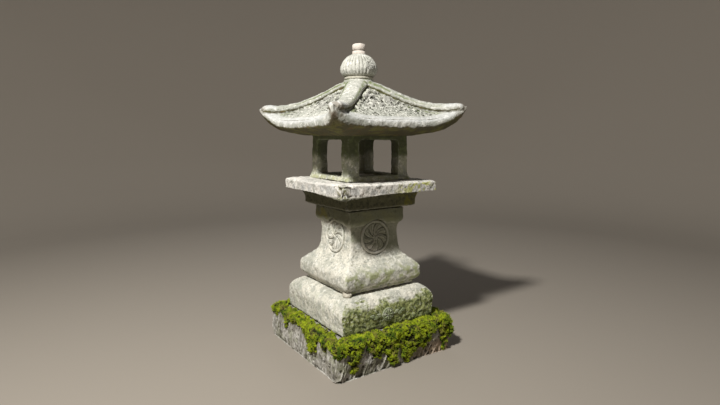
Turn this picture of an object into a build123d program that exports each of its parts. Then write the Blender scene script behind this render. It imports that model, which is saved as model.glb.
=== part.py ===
from build123d import *
import math
import os

# A square garden lantern of cast stone, standing on a rough block with moss on it.
# Millimetres, +Z up, origin on the ground under the middle of the block.
# The stones stand on one another: a bed of mortar, a round tenon or a shallow seat holds each in place.

# ---- the block and the moss on it ----
block_width = 470.0
block_height = 110.0
block_edge = 8.0            # worn edge round the top of the block
moss_depth = 9.0            # how thick the moss lies
moss_gap = 4.0              # bare strip between the moss and the mortar or the ground
moss_front_drop = 72.0      # how far the moss hangs down each side of the block
moss_left_drop = 40.0
moss_back_drop = 46.0
moss_right_drop = 60.0

# ---- plinth ----
plinth_width = 370.0
plinth_height = 106.0
plinth_side_height = 62.0   # straight part of its side, below the rounded shoulder
plinth_lean = 3.0           # its sides are this much narrower at the bottom, on each side
plinth_table_width = 292.0  # flat table that the pedestal is bedded on
plinth_corner = 9.0         # its worn upright corners
lower_bed = 7.0             # mortar between block and plinth
upper_bed = 4.0             # mortar between plinth and pedestal
bed_margin = 12.0           # the mortar stops this far inside the stone's edge
crest_radius = 22.0         # small round flower on the plinth's front
crest_relief = 3.0

# ---- pedestal: foot, waist and head ----
pedestal_height = 259.0
foot_neck_width = 268.0     # set-back course under the foot
foot_neck_height = 12.0
foot_width = 304.0
foot_height = 56.0          # from the set-back course to the shoulder of the foot
foot_round = 14.0
foot_corner = 8.0
waist_low_width = 201.0     # where the foot's slope turns into the waist
waist_low_height = 118.0
waist_width = 187.0
waist_height = 205.0
head_width = 219.0
head_lift = 22.0            # the head swells out over this height
roundel_radius = 54.0       # carved disc on each side of the waist
roundel_rim = 7.0
roundel_centre = 165.0      # height of its middle above the pedestal's foot
roundel_relief = 3.0        # its rim stands this far out of the waist
roundel_sink = 5.0          # depth of the carved field inside the rim

# ---- platform ----
platform_height = 94.0
platform_width = 374.0
slab_height = 38.0
slab_corner = 6.0
slab_slope = 14.0           # the slab's top falls off towards its edge, over this width
slab_fall = 4.0
fascia_width = 275.0        # lower moulding under the slab
fascia_low = 7.0
fascia_high = 28.0
cove_width = 296.0          # where the cove meets the slab
seat_width = 151.0          # raised pad that the light box drops over
seat_height = 8.0

# ---- light box ----
box_height = 148.0
box_width = 235.0
box_flare = 7.0             # spread of the posts' feet, on each side
box_flare_height = 24.0
wall = 40.0
window_width = 157.0
window_height = 115.0
window_sill = 15.0
window_round = 13.0
seat_clearance = 2.0        # between the pad and the light box, on each side

# ---- roof ----
eave_width = 464.0          # across the middle of the eaves
tip_width = 496.0           # across the upturned tips, measured square on
eave_thickness = 26.0
roof_rise = 137.0           # from the top of the eave to the crown
roof_seat_depth = 6.0       # recess that drops over the light box
roof_seat_clearance = 1.5
soffit_width = 252.0        # flat underside round the light box
soffit_rise = 20.0          # from there out to the eave
tip_lift = 44.0             # how far the top of the eave rises at the corners
tip_under_lift = 60.0       # how far its underside rises there
hip_width = 38.0            # ribs down the four corners of the roof
hip_height = 24.0
hip_tip_height = 17.0
hip_root = 6.0              # the ribs reach this far down into the slopes
crown_radius = 50.0
crown_drop = 16.0           # the slopes start this far below the crown

# ---- finial ----
finial_height = 115.0
finial_neck_radius = 48.0
finial_neck_height = 8.0
finial_ball_radius = 61.0
finial_ball_height = 33.0   # height of the widest part
finial_ball_top = 79.0
finial_ball_top_radius = 27.0
finial_cap_radius = 21.0
finial_groove = 2.0
finial_groove_height = 92.0

# ---- tenons, round pegs cut on the stones ----
pedestal_tenon_radius = 45.0
pedestal_tenon_length = 30.0
head_tenon_radius = 40.0
head_tenon_length = 25.0
finial_tenon_radius = 18.0
finial_tenon_length = 40.0
tenon_clearance = 2.0       # round every tenon
tenon_end_gap = 3.0         # between a tenon's end and the bottom of its socket

# ---- heights of the beds between the stones ----
plinth_base = block_height + lower_bed
pedestal_base = plinth_base + plinth_height + upper_bed
platform_base = pedestal_base + pedestal_height
box_base = platform_base + platform_height
roof_seat = box_base + box_height
soffit = roof_seat - roof_seat_depth
eave_under = soffit + soffit_rise
eave_top = eave_under + eave_thickness
crown = eave_top + roof_rise
reach = tip_width           # longer than any half width, for cutting tools
SIDES = (0, 90, 180, 270)


def side_plane(turn, out, height):
    """A plane facing outwards on one side of the lantern, its x along the side and its y up."""
    angle = math.radians(turn)
    outward = Vector(math.sin(angle), -math.cos(angle), 0)
    along = Vector(math.cos(angle), math.sin(angle), 0)
    return Plane(origin=outward * out + Vector(0, 0, height), x_dir=along, z_dir=outward)


def squared(width, corner, base, height):
    """A square prism with worn corners, to trim a moulded stone with."""
    with BuildPart() as prism:
        with BuildSketch(Plane.XY.offset(base)) as section:
            Rectangle(width, width)
            chamfer(section.vertices(), length=corner)
        extrude(amount=height)
    return prism.part


def moulded(outline, base):
    """A square stone whose four sides follow one outline, given as (half width, height) from its base."""
    with BuildPart() as stone:
        for plane, mode in ((Plane.XZ, Mode.ADD), (Plane.YZ, Mode.INTERSECT)):
            with BuildSketch(Plane(origin=(0, 0, base), x_dir=plane.x_dir, z_dir=plane.z_dir)):
                with BuildLine() as side:
                    outline()
                    low, high = side.line @ 0, side.line @ 1
                    Line((0, low.Y), low)
                    Line(high, (0, high.Y))
                    Line((0, high.Y), (0, low.Y))
                make_face()
                mirror(about=Plane.YZ)
            extrude(amount=reach, both=True, mode=mode)
    return stone.part


def save(part, name):
    part.label = name
    export_step(part, f"parts/{name}.step")


# ---------------------------------------------------------------- foundation block
def foundation_block():
    with BuildPart() as block:
        with BuildSketch():
            Rectangle(block_width, block_width)
        extrude(amount=block_height)
        chamfer(block.faces().sort_by(Axis.Z)[-1].edges(), length=block_edge)
        chamfer(block.edges().filter_by(Axis.Z), length=block_edge)
    return block.part


# ---------------------------------------------------------------- moss on the block
def moss(turn, drop, inner, outer_end):
    """Moss along one edge of the block: a strip on top and a mat down the side.

    inner is where the strip starts, and outer_end is half the strip's length.
    """
    half = block_width / 2
    block = foundation_block()
    with BuildPart() as mat:
        with BuildSketch(side_plane(turn, 0, 0)):
            with Locations((0, block_height - drop / 2)):
                Rectangle(2 * outer_end, drop)
        extrude(amount=half + moss_depth)
        with BuildSketch(side_plane(turn, 0, 0)):
            with Locations((0, block_height + moss_depth / 2)):
                Rectangle(2 * outer_end, moss_depth)
        extrude(amount=half)
        with BuildSketch(side_plane(turn, 0, 0)):
            with Locations((0, block_height / 2)):
                Rectangle(2 * reach, 2 * reach)
        extrude(amount=inner, mode=Mode.SUBTRACT)
        add(block, mode=Mode.SUBTRACT)
    return mat.part


# ---------------------------------------------------------------- mortar beds
def mortar(width, base, thickness, hole_radius):
    with BuildPart() as bed:
        with BuildSketch(Plane.XY.offset(base)):
            Rectangle(width, width)
            if hole_radius:
                Circle(hole_radius, mode=Mode.SUBTRACT)
        extrude(amount=thickness)
    return bed.part


# ---------------------------------------------------------------- plinth
def plinth_outline():
    half, table = plinth_width / 2, plinth_table_width / 2
    Line((half - plinth_lean, 0), (half, plinth_side_height))
    Spline((half, plinth_side_height), (table, plinth_height), tangents=((0, 1), (-1, 0.25)))


def plinth():
    body = moulded(plinth_outline, plinth_base)
    trim = squared(plinth_width, plinth_corner, plinth_base, plinth_height)
    with BuildPart() as stone:
        add(body)
        add(trim, mode=Mode.INTERSECT)
        # socket for the pedestal's tenon
        with Locations((0, 0, plinth_base + plinth_height)):
            Hole(
                pedestal_tenon_radius + tenon_clearance,
                depth=pedestal_tenon_length - upper_bed + tenon_end_gap,
            )
        # small round flower carved on the front
        with BuildSketch(side_plane(0, 0, plinth_base + plinth_side_height / 2)):
            Circle(crest_radius)
        extrude(amount=plinth_width / 2 + crest_relief)
    return stone.part


# ---------------------------------------------------------------- pedestal
def pedestal_outline():
    neck, foot = foot_neck_width / 2, foot_width / 2
    foot_top = foot_neck_height + foot_height
    waist_low, waist, head = waist_low_width / 2, waist_width / 2, head_width / 2
    under_head = waist_height + head_lift
    Polyline((neck, 0), (neck, foot_neck_height), (foot - foot_round, foot_neck_height))
    RadiusArc(
        (foot - foot_round, foot_neck_height),
        (foot, foot_neck_height + foot_round),
        -foot_round,
    )
    Line((foot, foot_neck_height + foot_round), (foot, foot_top - foot_round))
    Spline((foot, foot_top - foot_round), (waist_low, waist_low_height), tangents=((0, 1), (-0.1, 1)))
    Line((waist_low, waist_low_height), (waist, waist_height))
    Spline((waist, waist_height), (head, under_head), tangents=((1, 0.35), (0, 1)))
    Line((head, under_head), (head, pedestal_height))


def waist_plane(turn, out):
    """The leaning face of the waist on one side, moved out, with the roundel's middle as its origin."""
    lean = (waist_low_width - waist_width) / 2 / (waist_height - waist_low_height)
    half = waist_low_width / 2 - lean * (roundel_centre - waist_low_height)
    upright = side_plane(turn, half, pedestal_base + roundel_centre)
    leaning = Plane(
        origin=upright.origin,
        x_dir=upright.x_dir,
        z_dir=upright.z_dir + Vector(0, 0, lean),
    )
    return leaning.offset(out)


def pedestal():
    body = moulded(pedestal_outline, pedestal_base)
    trim = squared(foot_width, foot_corner, pedestal_base, pedestal_height)
    with BuildPart() as stone:
        add(body)
        add(trim, mode=Mode.INTERSECT)
        # carved disc on each side of the waist: a raised rim round a sunken field
        for turn in SIDES:
            with BuildSketch(waist_plane(turn, roundel_relief)):
                Circle(roundel_radius)
            extrude(amount=-roundel_relief - roundel_sink)
            with BuildSketch(waist_plane(turn, roundel_relief - roundel_sink)):
                Circle(roundel_radius - roundel_rim)
            extrude(amount=head_width, mode=Mode.SUBTRACT)
        # tenon down into the plinth, and tenon up into the platform
        with BuildSketch(Plane.XY.offset(pedestal_base - pedestal_tenon_length)):
            Circle(pedestal_tenon_radius)
        extrude(amount=pedestal_tenon_length)
        with BuildSketch(Plane.XY.offset(platform_base)):
            Circle(head_tenon_radius)
        extrude(amount=head_tenon_length)
    return stone.part


# ---------------------------------------------------------------- platform
def platform_outline():
    fascia, cove, slab = fascia_width / 2, cove_width / 2, platform_width / 2
    slab_low = platform_height - slab_height
    Polyline((head_width / 2, 0), (fascia, fascia_low), (fascia, fascia_high))
    Spline((fascia, fascia_high), (cove, slab_low), tangents=((0, 1), (1, 0.4)))
    slab_side = platform_height - slab_fall
    Polyline((cove, slab_low), (slab, slab_low), (slab, slab_side), (slab - slab_slope, platform_height))


def platform():
    body = moulded(platform_outline, platform_base)
    trim = squared(platform_width, slab_corner, platform_base, platform_height)
    with BuildPart() as stone:
        add(body)
        add(trim, mode=Mode.INTERSECT)
        # raised pad inside the light box, which is the floor that a candle stands on
        with BuildSketch(Plane.XY.offset(box_base)):
            Rectangle(seat_width, seat_width)
        extrude(amount=seat_height)
        # socket for the tenon on the pedestal's head
        with BuildSketch(Plane.XY.offset(platform_base)):
            Circle(head_tenon_radius + tenon_clearance)
        extrude(amount=head_tenon_length + tenon_end_gap, mode=Mode.SUBTRACT)
    return stone.part


# ---------------------------------------------------------------- light box
def box_outline():
    half = box_width / 2
    Spline((half + box_flare, 0), (half, box_flare_height), tangents=((-0.5, 1), (0, 1)))
    Line((half, box_flare_height), (half, box_height))


def light_box():
    inner_width = seat_width + 2 * seat_clearance
    body = moulded(box_outline, box_base)
    with BuildPart() as stone:
        add(body)
        with BuildSketch(Plane.XY.offset(box_base)):
            Rectangle(inner_width, inner_width)
        extrude(amount=box_height, mode=Mode.SUBTRACT)
        for turn in SIDES[:2]:
            with BuildSketch(side_plane(turn, 0, box_base + window_sill + window_height / 2)):
                RectangleRounded(window_width, window_height, window_round)
            extrude(amount=reach, both=True, mode=Mode.SUBTRACT)
    return stone.part


# ---------------------------------------------------------------- roof
# Each skin of the roof is a patch, and each row of its control points runs along one side of the roof.
# A row has a place at mid side and one at the corners. Those places are shares of the way from the middle
# of the roof out to the eave, and of the way from one height to the other.
TOP_MIDDLE = ((0, 0), (0.33, 0.46), (0.67, 0.80), (1, 1))
TOP_CORNER = ((0, 0), (0.34, 0.41), (0.73, 0.93), (1, 1))
UNDER_MIDDLE = ((0, 0), (0.33, 0.20), (0.67, 0.55), (1, 1))
UNDER_CORNER = ((0, 0), (0.38, 0.55), (0.87, 1), (1, 1))
ROW_POINTS = 7
slope_start_share = 0.6     # the slopes begin this far out under the round crown
slope_start = crown_radius * slope_start_share


def places(start, end, shares, lift=0.0):
    """(half width, height) of each row; lift raises the last one, at the eave."""
    spots = []
    for out, up in shares:
        spots.append((start[0] + (end[0] - start[0]) * out, start[1] + (end[1] - start[1]) * up))
    spots[-1] = (spots[-1][0], spots[-1][1] + lift)
    return spots


def top_rows():
    start = (slope_start, crown - crown_drop)
    middle = places(start, (eave_width / 2, eave_top), TOP_MIDDLE)
    corner = places(start, (tip_width / 2, eave_top), TOP_CORNER, tip_lift)
    return middle, corner


def under_rows():
    start = (soffit_width / 2, soffit)
    middle = places(start, (eave_width / 2, eave_under), UNDER_MIDDLE)
    corner = places(start, (tip_width / 2, eave_under), UNDER_CORNER, tip_under_lift)
    return middle, corner


def net_row(middle, corner):
    """One row of control points along the front side, from its left corner to its right."""
    points = []
    for i in range(ROW_POINTS):
        out, height = corner if i in (0, ROW_POINTS - 1) else middle
        across = 2 * i / (ROW_POINTS - 1) - 1
        points.append(Vector(corner[0] * across, -out, height))
    return points


def skin(rows, turn):
    turned = [[point.rotate(Axis.Z, turn) for point in row] for row in rows]
    return Face.make_bezier_surface(turned)


def square_face(half, height):
    corners = [(-half, -half, height), (half, -half, height), (half, half, height), (-half, half, height)]
    return Face(Wire.make_polygon(corners))


def roof_body():
    top = [net_row(middle, corner) for middle, corner in zip(*top_rows())]
    under = [net_row(middle, corner) for middle, corner in zip(*under_rows())]
    eave = [top[-1], under[-1]]
    faces = [skin(rows, turn) for rows in (top, under, eave) for turn in SIDES]
    faces.append(square_face(slope_start, crown - crown_drop))
    faces.append(square_face(soffit_width / 2, soffit))
    return Solid(Shell(faces))


def hip():
    """The rib down one corner of the roof, drawn along the X axis."""
    _, corner = top_rows()
    rise = (crown_drop, hip_height, hip_height, hip_tip_height)
    line = [(math.sqrt(2) * out, height) for out, height in corner]
    ridge = [(x, z + up) for (x, z), up in zip(line, rise)]
    root = [(x, z - hip_root) for x, z in line]
    nose = line[-1][0] - hip_width / 2
    with BuildPart() as rib:
        with BuildSketch(Plane.XZ):
            with BuildLine():
                Bezier(*ridge)
                Line(ridge[-1], root[-1])
                Bezier(*reversed(root))
                Line(root[0], ridge[0])
            make_face()
        extrude(amount=hip_width / 2, both=True)
        with BuildSketch():
            with Locations((nose / 2, 0)):
                Rectangle(nose, hip_width)
            with Locations((nose, 0)):
                Circle(hip_width / 2)
        extrude(amount=crown + reach, mode=Mode.INTERSECT)
    return rib.part


def roof():
    box_hold = box_width + 2 * roof_seat_clearance
    rib = hip()
    body = roof_body()
    with BuildPart() as stone:
        add(body)
        for turn in SIDES:
            add(rib, rotation=(0, 0, turn + 45))
        # round crown that the finial stands on
        with BuildSketch(Plane.XY.offset(eave_top)):
            Circle(crown_radius)
        extrude(amount=crown - eave_top)
        # seat over the light box, and socket for the finial
        with BuildSketch(Plane.XY.offset(soffit)):
            Rectangle(box_hold, box_hold)
        extrude(amount=roof_seat_depth, mode=Mode.SUBTRACT)
        with Locations((0, 0, crown)):
            Hole(
                finial_tenon_radius + tenon_clearance,
                depth=finial_tenon_length + tenon_end_gap,
            )
    return stone.part


# ---------------------------------------------------------------- finial
def finial():
    with BuildPart() as stone:
        with BuildSketch(Plane(origin=(0, 0, crown), x_dir=(1, 0, 0), z_dir=(0, -1, 0))):
            with BuildLine():
                Polyline(
                    (0, -finial_tenon_length),
                    (finial_tenon_radius, -finial_tenon_length),
                    (finial_tenon_radius, 0),
                    (finial_neck_radius, 0),
                    (finial_neck_radius, finial_neck_height),
                )
                Spline(
                    (finial_neck_radius, finial_neck_height),
                    (finial_ball_radius, finial_ball_height),
                    (finial_ball_top_radius, finial_ball_top),
                    tangents=((0.6, 1), (0, 1), (-1, 0.35)),
                )
                Polyline(
                    (finial_ball_top_radius, finial_ball_top),
                    (finial_cap_radius, finial_ball_top),
                    (finial_cap_radius, finial_groove_height),
                    (finial_cap_radius - finial_groove, finial_groove_height),
                    (finial_cap_radius - finial_groove, finial_groove_height + finial_groove),
                    (finial_cap_radius, finial_groove_height + finial_groove),
                    (finial_cap_radius, finial_height - finial_groove),
                    (finial_cap_radius - finial_groove, finial_height),
                    (0, finial_height),
                    (0, -finial_tenon_length),
                )
            make_face()
        revolve(axis=Axis.Z)
    return stone.part


os.makedirs("parts", exist_ok=True)
half_block = block_width / 2
ledge = plinth_width / 2 + moss_gap
corner_stop = half_block - block_edge

save(foundation_block(), "foundation_block")
save(moss(0, moss_front_drop, ledge, corner_stop), "moss_front")
save(moss(180, moss_back_drop, ledge, corner_stop), "moss_back")
save(moss(90, moss_right_drop, ledge, ledge), "moss_right")
save(moss(270, moss_left_drop, ledge, ledge), "moss_left")
save(mortar(plinth_width - 2 * bed_margin, block_height, lower_bed, 0), "mortar_bed_lower")
save(plinth(), "plinth")
save(
    mortar(
        foot_neck_width - bed_margin,
        plinth_base + plinth_height,
        upper_bed,
        pedestal_tenon_radius + tenon_clearance,
    ),
    "mortar_bed_upper",
)
save(pedestal(), "pedestal")
save(platform(), "platform")
save(light_box(), "light_box")
save(roof(), "roof")
save(finial(), "finial")
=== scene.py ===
import math
import random
import bpy
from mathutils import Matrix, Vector, noise


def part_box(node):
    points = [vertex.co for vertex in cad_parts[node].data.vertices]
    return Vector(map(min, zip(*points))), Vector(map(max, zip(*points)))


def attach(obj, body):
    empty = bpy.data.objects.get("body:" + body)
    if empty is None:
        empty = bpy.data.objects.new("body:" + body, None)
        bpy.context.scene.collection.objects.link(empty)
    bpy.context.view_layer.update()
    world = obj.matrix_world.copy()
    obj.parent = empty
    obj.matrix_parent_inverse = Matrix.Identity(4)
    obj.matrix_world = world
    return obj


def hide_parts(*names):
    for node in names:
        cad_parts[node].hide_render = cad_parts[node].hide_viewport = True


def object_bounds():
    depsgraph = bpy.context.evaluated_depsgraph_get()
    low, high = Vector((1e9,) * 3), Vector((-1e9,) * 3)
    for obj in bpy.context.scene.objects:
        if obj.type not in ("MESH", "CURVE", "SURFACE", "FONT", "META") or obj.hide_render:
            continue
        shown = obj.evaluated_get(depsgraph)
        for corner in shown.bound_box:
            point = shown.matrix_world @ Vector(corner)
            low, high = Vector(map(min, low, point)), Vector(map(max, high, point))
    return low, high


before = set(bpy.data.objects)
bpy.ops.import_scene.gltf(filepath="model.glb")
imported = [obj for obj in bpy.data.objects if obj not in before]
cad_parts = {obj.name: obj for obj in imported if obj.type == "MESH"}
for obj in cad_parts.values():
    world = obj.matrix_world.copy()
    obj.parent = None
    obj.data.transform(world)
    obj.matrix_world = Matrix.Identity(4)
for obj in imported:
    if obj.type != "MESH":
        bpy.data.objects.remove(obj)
cad_low, cad_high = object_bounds()


# ---- Camera, floor and studio light --------------------------------------------------------------
# The camera stands a little to the left of the lantern's front corner, at the height of its roof. The
# floor is one plain brown sheet that sweeps up all round. One large lamp stands high on the left and two
# weaker ones fill the shade.
scene = bpy.context.scene
scene.view_settings.view_transform = "Standard"
lantern_height = cad_high.z - cad_low.z
camera_turn = math.radians(-34)
camera_lift = math.radians(7.9)
camera_distance = 1.643 * lantern_height
sideways = Vector((math.cos(camera_turn), math.sin(camera_turn), 0))
aim = Vector((0.0, 0.0, 0.486 * lantern_height)) + sideways * 0.004
away = Vector((
    math.sin(camera_turn) * math.cos(camera_lift),
    -math.cos(camera_turn) * math.cos(camera_lift),
    math.sin(camera_lift),
))
bpy.ops.object.camera_add(
    location=aim + away * camera_distance,
    rotation=away.to_track_quat("Z", "Y").to_euler(),
)
camera = bpy.context.object
camera.name = "camera"
camera.data.sensor_width = 36
camera.data.lens = 24.45
scene.camera = camera

bpy.ops.mesh.primitive_circle_add(vertices=96, radius=2.6, fill_type="NGON", location=(0, 0, 0))
floor = bpy.context.object
floor.name = "floor"
bpy.ops.object.mode_set(mode="EDIT")
bpy.ops.mesh.select_mode(type="EDGE")
bpy.ops.mesh.region_to_loop()
sweep = ((0.02, 1.1), (0.06, 1.08), (0.15, 1.07), (0.3, 1.05), (0.6, 1.04), (1.2, 1.03), (1.6, 1.0))
for lift, spread in sweep:
    bpy.ops.mesh.extrude_edges_move(TRANSFORM_OT_translate={"value": (0, 0, lift)})
    bpy.ops.transform.resize(value=(spread, spread, 1))
bpy.ops.mesh.select_all(action="SELECT")
bpy.ops.mesh.normals_make_consistent(inside=False)
bpy.ops.object.mode_set(mode="OBJECT")
bpy.ops.object.shade_smooth()

floor_finish = bpy.data.materials.new("plain_floor")
floor_finish.use_nodes = True
paint = floor_finish.node_tree.nodes["Principled BSDF"]
paint.inputs["Base Color"].default_value = (0.3, 0.268, 0.23, 1)
paint.inputs["Roughness"].default_value = 0.9
floor.data.materials.append(floor_finish)


def soft_lamp(name, place, size, power, colour):
    """A square lamp that faces the lantern's middle."""
    bpy.ops.object.light_add(
        type="AREA",
        location=place,
        rotation=(Vector(place) - aim).to_track_quat("Z", "Y").to_euler(),
    )
    lamp = bpy.context.object
    lamp.name = name
    lamp.data.size = size
    lamp.data.energy = power
    lamp.data.color = colour


soft_lamp("key_lamp", (-1.75, -1.0, 2.65), 0.24, 138, (1.0, 0.975, 0.92))
soft_lamp("fill_lamp", (1.6, -2.0, 1.3), 1.8, 2.2, (0.92, 0.96, 1.0))
soft_lamp("back_lamp", (1.2, 2.2, 2.0), 1.8, 6, (0.95, 0.97, 1.0))
scene.world = bpy.data.worlds.new("studio")
scene.world.use_nodes = True
scene.world.node_tree.nodes["Background"].inputs["Color"].default_value = (0.8, 0.83, 0.88, 1)
scene.world.node_tree.nodes["Background"].inputs["Strength"].default_value = 0.09


# ---- Foundation block ----------------------------------------------------------------------------
# One rough square of split stone, dug or laid level under the lantern. Its top is dressed flat and
# its sides are left as the wedges broke them, with upright furrows and pits.
block_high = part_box("foundation_block")[1]
block_half = block_high.x
block_top = block_high.z


def square_stone(name, outline, corner):
    """A square stone pulled up course by course along (half width, height), its upright corners rounded."""
    half, height = outline[0]
    bpy.ops.object.select_all(action="DESELECT")
    bpy.ops.mesh.primitive_plane_add(size=2 * half, location=(0, 0, height))
    stone = bpy.context.object
    stone.name = name
    bpy.ops.object.transform_apply()
    bpy.ops.object.mode_set(mode="EDIT")
    bpy.ops.mesh.select_mode(type="FACE")
    for next_half, next_height in outline[1:]:
        bpy.ops.mesh.extrude_region_move(TRANSFORM_OT_translate={"value": (0, 0, next_height - height)})
        bpy.ops.transform.resize(value=(next_half / half, next_half / half, 1))
        half, height = next_half, next_height
    bpy.ops.mesh.select_all(action="SELECT")
    bpy.ops.mesh.normals_make_consistent(inside=False)
    bpy.ops.mesh.select_all(action="DESELECT")
    bpy.ops.mesh.select_mode(type="EDGE")
    bpy.ops.object.mode_set(mode="OBJECT")
    for edge in stone.data.edges:
        a, b = (stone.data.vertices[i].co for i in edge.vertices)
        edge.select = a.x * b.x > 0 and a.y * b.y > 0
    bpy.ops.object.mode_set(mode="EDIT")
    bpy.ops.mesh.bevel(offset=corner, offset_type="WIDTH", segments=3, affect="EDGES")
    bpy.ops.object.mode_set(mode="OBJECT")
    return stone


def shape_with(piece, kind, **settings):
    """Adds one modifier to a piece and applies it."""
    bpy.context.view_layer.objects.active = piece
    modifier = piece.modifiers.new(kind.lower(), kind)
    for name, value in settings.items():
        setattr(modifier, name, value)
    bpy.ops.object.modifier_apply(modifier=modifier.name)


def clouds(size, depth=3):
    """Soft lumps of about this size, in metres."""
    lumps = bpy.data.textures.new("lumps", "CLOUDS")
    lumps.noise_scale = size
    lumps.noise_depth = depth
    return lumps


def crags(size):
    """Sharp ridges with furrows between them."""
    ridges = bpy.data.textures.new("ridges", "MUSGRAVE")
    ridges.musgrave_type = "RIDGED_MULTIFRACTAL"
    ridges.noise_scale = size
    ridges.octaves = 4
    ridges.lacunarity = 2.1
    ridges.offset = 0.9
    ridges.gain = 1.6
    return ridges


def holes(spacing, width):
    """Separate round holes, white all round them; width is a share of the spacing."""
    cells = bpy.data.textures.new("holes", "VORONOI")
    cells.noise_scale = spacing
    cells.use_color_ramp = True
    cells.color_ramp.elements[0].color = (0, 0, 0, 1)
    cells.color_ramp.elements[0].position = width * 0.3
    cells.color_ramp.elements[1].color = (1, 1, 1, 1)
    cells.color_ramp.elements[1].position = width
    return cells


def weights(piece, name, rule):
    """A vertex group from a rule that takes a point and its normal and gives 0 to 1."""
    group = piece.vertex_groups.new(name=name)
    for vertex in piece.data.vertices:
        amount = rule(vertex.co, vertex.normal)
        if amount > 0:
            group.add([vertex.index], min(1.0, amount), "REPLACE")
    return name


def grain_space(stretch, turn=(0, 0, 0)):
    """An empty that stretches and turns a texture; it is removed once the modifier is applied."""
    bpy.ops.object.empty_add(rotation=turn)
    space = bpy.context.object
    space.scale = stretch
    bpy.context.view_layer.update()
    return space


def remesh(piece, size, smoothing):
    """An even skin of small faces over the whole piece, with its edges a little worn."""
    shape_with(piece, "REMESH", mode="VOXEL", voxel_size=size)
    shape_with(piece, "SMOOTH", factor=0.5, iterations=smoothing)


block = square_stone(
    "foundation_block_rough",
    (
        (block_half - 0.004, 0.0),
        (block_half - 0.001, 0.05),
        (block_half - 0.003, block_top - 0.012),
        (block_half - 0.008, block_top - 0.004),
        (block_half - 0.018, block_top - 0.001),
    ),
    0.02,
)
remesh(block, 0.0032, 4)
sides = weights(block, "sides", lambda point, normal: 1.6 * (math.hypot(normal.x, normal.y) - 0.35))
furrows = grain_space((0.55, 0.55, 2.4), (0, 0.35, 0.2))
for texture, depth, space in (
    (clouds(0.07), 0.016, None),
    (crags(0.05), 0.006, furrows),
    (clouds(0.012, 4), 0.006, furrows),
):
    shape_with(
        block, "DISPLACE", texture=texture, strength=depth, mid_level=0.72, vertex_group=sides,
        texture_coords="OBJECT" if space else "LOCAL", texture_coords_object=space,
    )
shape_with(block, "DISPLACE", texture=holes(0.02, 0.3), strength=0.004, mid_level=1.0, vertex_group=sides)
shape_with(block, "DISPLACE", texture=clouds(0.02, 4), strength=0.003, mid_level=0.6)
bpy.data.objects.remove(furrows)
for vertex in block.data.vertices:
    vertex.co.z = max(0.0, vertex.co.z)
bpy.ops.object.shade_smooth()


# The weathered surface of every stone is laid on in coats, one over the other: the stone's own colour,
# lichen, specks, green and brown growth, then painted shade in the hollows and wear on the edges.
def new_finish(name, roughness):
    """A material with its shader, and the place on the piece that its patterns are drawn at."""
    finish = bpy.data.materials.new(name)
    finish.use_nodes = True
    shader = finish.node_tree.nodes["Principled BSDF"]
    shader.inputs["Roughness"].default_value = roughness
    shader.inputs["Specular IOR Level"].default_value = 0.2
    finish.node_tree.nodes.new("ShaderNodeTexCoord").name = "place"
    finish.node_tree.nodes.new("ShaderNodeNewGeometry").name = "surface"
    return finish


def put(finish, kind, links=(), **settings):
    """Adds one node; links pairs its inputs with outputs of earlier nodes or with plain values."""
    node = finish.node_tree.nodes.new(kind)
    for name, value in settings.items():
        setattr(node, name, value)
    for socket, source in links:
        if isinstance(source, bpy.types.NodeSocket):
            finish.node_tree.links.new(source, node.inputs[socket])
        else:
            node.inputs[socket].default_value = source
    return node


def ramp(finish, source, low, high):
    """0 where the source is at low, 1 where it is at high, and a smooth rise between."""
    return put(
        finish, "ShaderNodeMapRange",
        (("Value", source), ("From Min", low), ("From Max", high)), interpolation_type="SMOOTHSTEP",
    ).outputs["Result"]


def patches(finish, size, detail=5.0, stretch=(1, 1, 1), roughness=0.6):
    """Cloudy patches of about this size in metres, from 0 to 1, drawn out along the axes by stretch."""
    place = finish.node_tree.nodes["place"].outputs["Object"]
    spread = put(finish, "ShaderNodeMapping", (("Vector", place), ("Scale", [1 / s for s in stretch])))
    return put(
        finish, "ShaderNodeTexNoise",
        (
            ("Vector", spread.outputs["Vector"]),
            ("Scale", 1 / size),
            ("Detail", detail),
            ("Roughness", roughness),
        ),
    ).outputs["Fac"]


def mottle(finish, size, low, high, **settings):
    """Patches with edges: 0 below low, 1 above high."""
    return ramp(finish, patches(finish, size, **settings), low, high)


def combine(finish, operation, first, *others):
    """Masks or numbers taken together, one after the other."""
    for other in others:
        first = put(finish, "ShaderNodeMath", ((0, first), (1, other)), operation=operation).outputs[0]
    return first


def times(finish, *factors):
    """Masks or numbers multiplied together."""
    return combine(finish, "MULTIPLY", *factors)


def plus(finish, *parts):
    """Masks or numbers added together."""
    return combine(finish, "ADD", *parts)


def coat(finish, under, mask, colour):
    """A colour laid over what is under it where the mask is; several masks are multiplied together."""
    if isinstance(mask, tuple):
        mask = times(finish, *mask)
    base = (*under, 1) if isinstance(under, tuple) else under
    mixer = put(finish, "ShaderNodeMix", ((0, mask), (6, base), (7, (*colour, 1))), data_type="RGBA")
    return mixer.outputs[2]


def coats(finish, colour, *layers):
    """Coats laid in order, each a mask (or masks multiplied together) and a colour."""
    for mask, layer in layers:
        colour = coat(finish, colour, mask, layer)
    return colour


def along(finish, axis, low, high):
    """0 below one place along an axis, in metres, and 1 above another."""
    place = finish.node_tree.nodes["place"].outputs["Object"]
    split = put(finish, "ShaderNodeSeparateXYZ", (("Vector", place),))
    return ramp(finish, split.outputs[axis], low, high)


def facing(finish, direction, low, high):
    """1 where the surface faces a direction, 0 where it faces away."""
    normal = finish.node_tree.nodes["surface"].outputs["Normal"]
    turn = put(finish, "ShaderNodeVectorMath", ((0, normal), (1, direction)), operation="DOT_PRODUCT")
    return ramp(finish, turn.outputs["Value"], low, high)


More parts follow.
